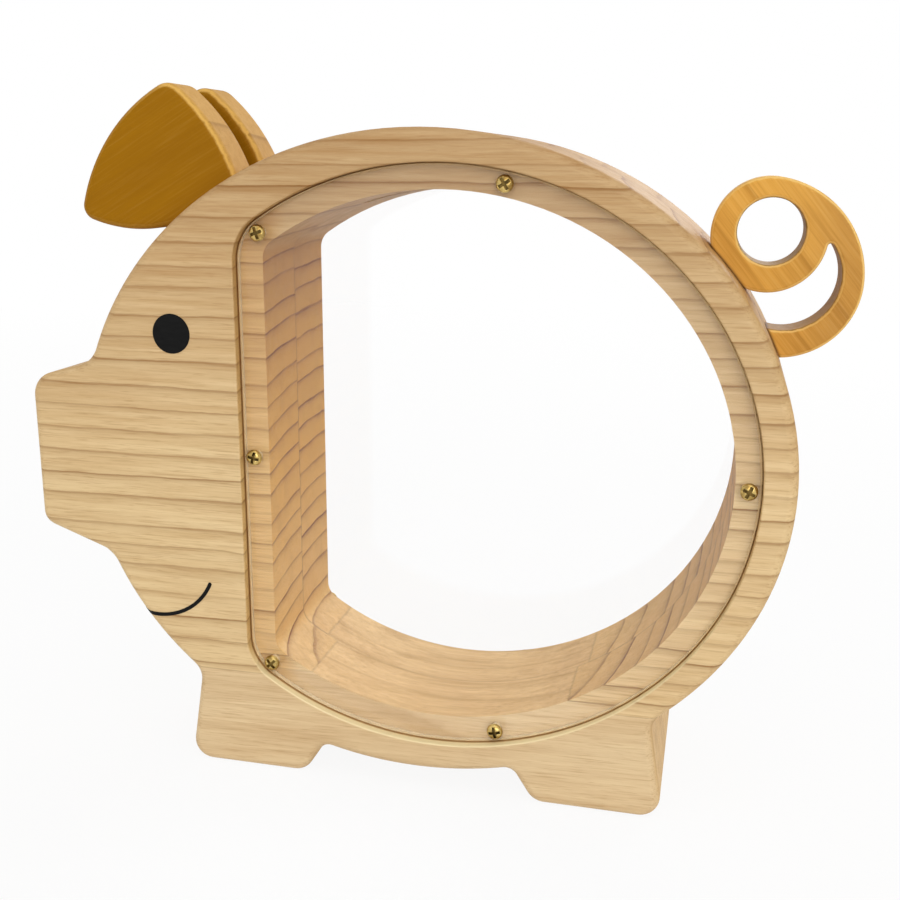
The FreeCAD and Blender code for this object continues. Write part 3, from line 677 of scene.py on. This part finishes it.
ear_paint = coloured_wood("ear_ochre_paint", turn=0.52, face=colour(162, 110, 6),
                          edge=colour(204, 156, 82), wear_and_highlight=colour(226, 178, 92),
                          line=colour(138, 88, 4), spacing=14.0, line_strength=0.22,
                          least_lit=0.1)
tail_stain = coloured_wood("tail_ochre_stain", turn=-0.88, face=colour(238, 178, 82),
                           edge=colour(232, 184, 104), wear_and_highlight=colour(244, 200, 118),
                           line=colour(166, 110, 36), spacing=11.0, line_strength=0.7,
                           least_lit=0.5, cuts=(TAIL_HOLE, TAIL_GAP), dulling_span=TAIL_DULLING)
dowel_wood = plain_dowel("dowel_beech")
acrylic = clear_acrylic("window_acrylic")
screw_brass = brass("screw_brass", colour(212, 184, 114), colour(150, 120, 62))
recess_brass = brass("screw_recess_brass", colour(120, 98, 52), colour(70, 56, 30))
face_paint = black_paint("face_black_paint")


def finish_node(node_name, finish):
    """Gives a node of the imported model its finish."""
    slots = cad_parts[node_name].data.materials
    slots.clear()
    slots.append(finish)


for side, board, foot in zip(SIDES, (pine_front, pine_rear), (pine_foot_front, pine_foot_rear)):
    finish_node(side + "_upper_board", board)
    finish_node(side + "_foot_board", foot)
    finish_node(side + "_ear", ear_paint)
    finish_node(side + "_ear_dowel_1", dowel_wood)
    finish_node(side + "_ear_dowel_2", dowel_wood)
    finish_node(side + "_eye", face_paint)
    finish_node(side + "_mouth", face_paint)
finish_node("tail", tail_stain)
finish_node("tail_dowel", dowel_wood)


# Windows and screws.

def keep_piece(name, form, finishes, body, node_name):
    """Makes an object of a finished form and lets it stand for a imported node."""
    mesh = bpy.data.meshes.new(name)
    form.to_mesh(mesh)
    form.free()
    for finish in finishes:
        mesh.materials.append(finish)
    piece = bpy.data.objects.new(name, mesh)
    bpy.context.scene.collection.objects.link(piece)
    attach(piece, body)
    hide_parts(node_name)


PANE_AIR_GAP = 0.00012
PANE_WELD = 1e-6
PANE_SEAT_MARGIN = 1e-5


def window_sheet(side):
    """The clear sheet, a hair clear of its ledge, as a hard sheet on wood lies."""
    node_name = side + "_window"
    inward = 1.0 if side == "front" else -1.0
    low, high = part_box(node_name)
    seat = high.y if side == "front" else low.y
    form = bmesh.new()
    form.from_mesh(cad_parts[node_name].data)
    bmesh.ops.remove_doubles(form, verts=form.verts, dist=PANE_WELD)
    seated = [spot for spot in form.verts if abs(spot.co.y - seat) < PANE_SEAT_MARGIN]
    bmesh.ops.translate(form, verts=seated, vec=(0.0, -inward * PANE_AIR_GAP, 0.0))
    for face in form.faces:
        face.smooth = False
    keep_piece(side + "_window_sheet", form, (acrylic,), node_name, node_name)


# Screw sizes in millimetres.  The head's profile is (radius, height above its underside)
# and ends in a plain neck; the thread's profile is (radius, share of a pitch).
HEAD_PROFILE = ((0.0, 1.27), (0.70, 1.24), (1.20, 1.14), (1.60, 0.94), (1.85, 0.66),
                (1.98, 0.36), (2.00, 0.12), (1.94, 0.0), (0.72, 0.0), (0.66, -0.1),
                (0.66, -1.6), (0.0, -1.6))
HEAD_TOP = HEAD_PROFILE[0][1]
HEAD_STEPS = 32
HEAD_WELD = 1e-4
CROSS_ARM = 1.45
CROSS_HALF_WIDTH = 0.36
CROSS_FLOOR = 0.42
CROSS_SNAP = 1e-5
CROSS_TURNS = {1: 20.0, 2: 32.0, 3: 64.0, 4: 12.0, 5: 42.0, 6: 76.0}
THREAD_CORE = 0.70
THREAD_CREST = 1.0
THREAD_PROFILE = ((THREAD_CORE, 0.0), (THREAD_CORE, -0.36), (THREAD_CREST, -0.5),
                  (THREAD_CREST, -0.56), (THREAD_CORE, -0.72), (THREAD_CORE, -1.0))
THREAD_PITCH = 1.1
THREAD_TOP = -0.2
THREAD_STEPS = 14
THREAD_WELD = 0.02
SHANK_LENGTH = 10.0
POINT_LENGTH = 2.4
POINT_CURVE = 0.7


def chain(form, points):
    """Joins (radius, height) points by edges, in the XZ plane."""
    spots = [form.verts.new((radius, 0.0, height)) for radius, height in points]
    edges = [form.edges.new(pair) for pair in zip(spots, spots[1:])]
    return spots + edges


def screw_head(form):
    """A raised head on a short plain neck; its cross recess takes the second finish."""
    bmesh.ops.spin(form, geom=chain(form, HEAD_PROFILE), axis=(0, 0, 1), cent=(0, 0, 0),
                   angle=math.tau, steps=HEAD_STEPS, use_merge=True)
    bmesh.ops.remove_doubles(form, verts=form.verts, dist=HEAD_WELD)
    for across in ((1, 0, 0), (0, 1, 0)):
        for reach in (CROSS_HALF_WIDTH, CROSS_ARM):
            for way in (-1, 1):
                cell = form.verts[:] + form.edges[:] + form.faces[:]
                bmesh.ops.bisect_plane(form, geom=cell, dist=CROSS_SNAP, plane_no=across,
                                       plane_co=[way * reach * axis for axis in across])

    def in_cross(face):
        middle = face.calc_center_median()
        near, far = sorted((abs(middle.x), abs(middle.y)))
        return near < CROSS_HALF_WIDTH and far < CROSS_ARM and middle.z > CROSS_FLOOR
    opened = [face for face in form.faces if in_cross(face)]
    made = bmesh.ops.extrude_face_region(form, geom=opened)["geom"]
    sunk = [part for part in made if isinstance(part, bmesh.types.BMVert)]
    for spot in sunk:
        spot.co.z = CROSS_FLOOR
    bmesh.ops.delete(form, geom=opened, context="FACES")
    walls = {face for spot in sunk for face in spot.link_faces}
    for face in walls:
        face.material_index = 1


def screw_thread(form):
    """A helical thread on a straight shank that ends in a point, closed at both ends."""
    turns = round((SHANK_LENGTH + THREAD_TOP) / THREAD_PITCH) - 1
    winding = [(radius, THREAD_TOP + height * THREAD_PITCH) for radius, height in THREAD_PROFILE]
    before = set(form.verts)
    bmesh.ops.spin(form, geom=chain(form, winding), axis=(0, 0, 1), cent=(0, 0, 0),
                   angle=math.tau * turns, steps=THREAD_STEPS * turns,
                   dvec=(0, 0, -THREAD_PITCH / THREAD_STEPS))
    shank = [spot for spot in form.verts if spot not in before]
    lowest = min(spot.co.z for spot in shank)
    stretch = -SHANK_LENGTH / lowest
    for spot in shank:
        spot.co.z *= stretch
        left = (spot.co.z + SHANK_LENGTH) / POINT_LENGTH
        if left < 1.0:
            narrow = max(left, 0.0) ** POINT_CURVE
            spot.co.x *= narrow
            spot.co.y *= narrow
    bmesh.ops.remove_doubles(form, verts=shank, dist=THREAD_WELD)
    rims = [edge for edge in form.edges if edge.is_boundary]
    bmesh.ops.holes_fill(form, edges=rims, sides=0)


def threaded_screw(side, number):
    """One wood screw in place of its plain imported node."""
    node_name = f"{side}_screw_{number}"
    low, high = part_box(node_name)
    form = bmesh.new()
    screw_head(form)
    bmesh.ops.rotate(form, verts=form.verts, cent=(0, 0, 0),
                     matrix=Matrix.Rotation(math.radians(CROSS_TURNS[number]), 3, "Z"))
    screw_thread(form)
    bmesh.ops.recalc_face_normals(form, faces=form.faces)
    outward = -1.0 if side == "front" else 1.0
    crown = low.y if side == "front" else high.y
    seat = crown - outward * HEAD_TOP * MM
    stand = Matrix(((-outward, 0, 0), (0, 0, outward), (0, 1, 0)))
    bmesh.ops.transform(form, verts=form.verts, matrix=(stand * MM).to_4x4())
    bmesh.ops.translate(form, verts=form.verts,
                        vec=((low.x + high.x) / 2, seat, (low.z + high.z) / 2))
    for face in form.faces:
        face.smooth = face.material_index == 0
    keep_piece(node_name + "_threaded", form, (screw_brass, recess_brass),
               node_name, node_name)


for side in SIDES:
    window_sheet(side)
    for number in SCREW_NUMBERS:
        threaded_screw(side, number)


# Floor and light.  The floor glows a little less near the money box, to show its shadow.
FLOOR_HALF_SIZE = 6.0
FLOOR_GREY = (0.86, 0.86, 0.86, 1.0)
FLOOR_ROUGHNESS = 0.9
FLOOR_GLOW_REACH = (0.25, 1.0)
FLOOR_GLOW = (0.91, 1.0)
WHITE = (1.0, 1.0, 1.0, 1.0)
ROOM_WHITE = (1.0, 0.99, 0.97, 1.0)
ROOM_LEVEL = 0.56
LAMP_AIM = Vector((0.0, 0.0, 0.08))


def seen_directly(tree):
    """1 for rays that show what lies behind the money box, 0 for rays that light it."""
    rays = tree.nodes.new("ShaderNodeLightPath")
    seen = sums(tree, "MAXIMUM", rays.outputs["Is Camera Ray"], rays.outputs["Is Glossy Ray"])
    return sums(tree, "MAXIMUM", seen, rays.outputs["Is Transmission Ray"])


def pale_floor():
    """A white studio floor that shows the shadow softly."""
    finish, tree, shader = new_finish("studio_floor")
    shader.inputs["Base Color"].default_value = FLOOR_GREY
    shader.inputs["Roughness"].default_value = FLOOR_ROUGHNESS
    glow = tree.nodes.new("ShaderNodeEmission")
    glow.inputs["Strength"].default_value = 1.0
    place = tree.nodes.new("ShaderNodeTexCoord")
    away = length_of(tree, place.outputs["Object"])
    glowing = span(tree, away, *FLOOR_GLOW_REACH, *FLOOR_GLOW)
    mix_shaders(tree, both(tree, seen_directly(tree), glowing), shader, glow, "Material Output")

    mesh = bpy.data.meshes.new("studio_floor")
    form = bmesh.new()
    bmesh.ops.create_grid(form, x_segments=2, y_segments=2, size=FLOOR_HALF_SIZE)
    form.to_mesh(mesh)
    form.free()
    floor = bpy.data.objects.new("studio_floor", mesh)
    bpy.context.scene.collection.objects.link(floor)
    mesh.materials.append(finish)


def white_room():
    """Even light from all round, with a white background to look at."""
    world = bpy.data.worlds.new("white_room")
    bpy.context.scene.world = world
    world.use_nodes = True
    tree = world.node_tree
    soft = tree.nodes["Background"]
    soft.inputs["Color"].default_value = ROOM_WHITE
    soft.inputs["Strength"].default_value = ROOM_LEVEL
    white = tree.nodes.new("ShaderNodeBackground")
    white.inputs["Color"].default_value = WHITE
    white.inputs["Strength"].default_value = 1.0
    mix_shaders(tree, seen_directly(tree), soft, white, "World Output")


def soft_lamp(name, place, size, power):
    """A large square studio lamp, aimed at the middle of the money box."""
    lamp = bpy.data.lights.new(name, "AREA")
    lamp.shape = "SQUARE"
    lamp.size = size
    lamp.energy = power
    holder = bpy.data.objects.new(name, lamp)
    bpy.context.scene.collection.objects.link(holder)
    holder.location = place
    holder.visible_transmission = False
    holder.rotation_mode = "QUATERNION"
    holder.rotation_quaternion = (LAMP_AIM - Vector(place)).to_track_quat("-Z", "Y")


pale_floor()
white_room()
soft_lamp("front_lamp", place=(0.25, -1.1, 0.35), size=0.5, power=2.3)
soft_lamp("upper_lamp", place=(0.35, -1.1, 0.55), size=0.8, power=2.4)
soft_lamp("overhead_lamp", place=(0.1, -0.45, 1.2), size=0.6, power=2.0)
soft_lamp("rear_lamp", place=(0.40, 1.0, 0.65), size=0.8, power=5.0)


# Camera: a little above and to the tail side, looking down at the head.
# The lens and the sensor are millimetres.
CAMERA_PLACE = Vector((67.43, -268.49, 152.07)) * MM
CAMERA_LENS = 44.84
CAMERA_SENSOR = 36.0
CAMERA_TURN = math.radians(13.4)
CAMERA_DIP = math.radians(14.3)
CAMERA_ROLL = math.radians(0.39)
CAMERA_NEAR = 0.01
CAMERA_FAR = 50.0


def set_camera():
    """The scene's camera, from its place and its three turns."""
    forward = Vector((-math.sin(CAMERA_TURN) * math.cos(CAMERA_DIP),
                      math.cos(CAMERA_TURN) * math.cos(CAMERA_DIP),
                      -math.sin(CAMERA_DIP)))
    right = Vector((math.cos(CAMERA_TURN), math.sin(CAMERA_TURN), 0.0))
    up = right.cross(forward)
    rolled_right = math.cos(CAMERA_ROLL) * right + math.sin(CAMERA_ROLL) * up
    rolled_up = math.cos(CAMERA_ROLL) * up - math.sin(CAMERA_ROLL) * right
    camera = bpy.data.cameras.new("camera")
    camera.sensor_fit = "HORIZONTAL"
    camera.sensor_width = CAMERA_SENSOR
    camera.lens = CAMERA_LENS
    camera.clip_start = CAMERA_NEAR
    camera.clip_end = CAMERA_FAR
    holder = bpy.data.objects.new("camera", camera)
    bpy.context.scene.collection.objects.link(holder)
    turn = Matrix((rolled_right, rolled_up, -forward)).transposed()
    holder.matrix_world = Matrix.Translation(CAMERA_PLACE) @ turn.to_4x4()
    bpy.context.scene.camera = holder


set_camera()
bpy.context.scene.view_settings.view_transform = "Standard"
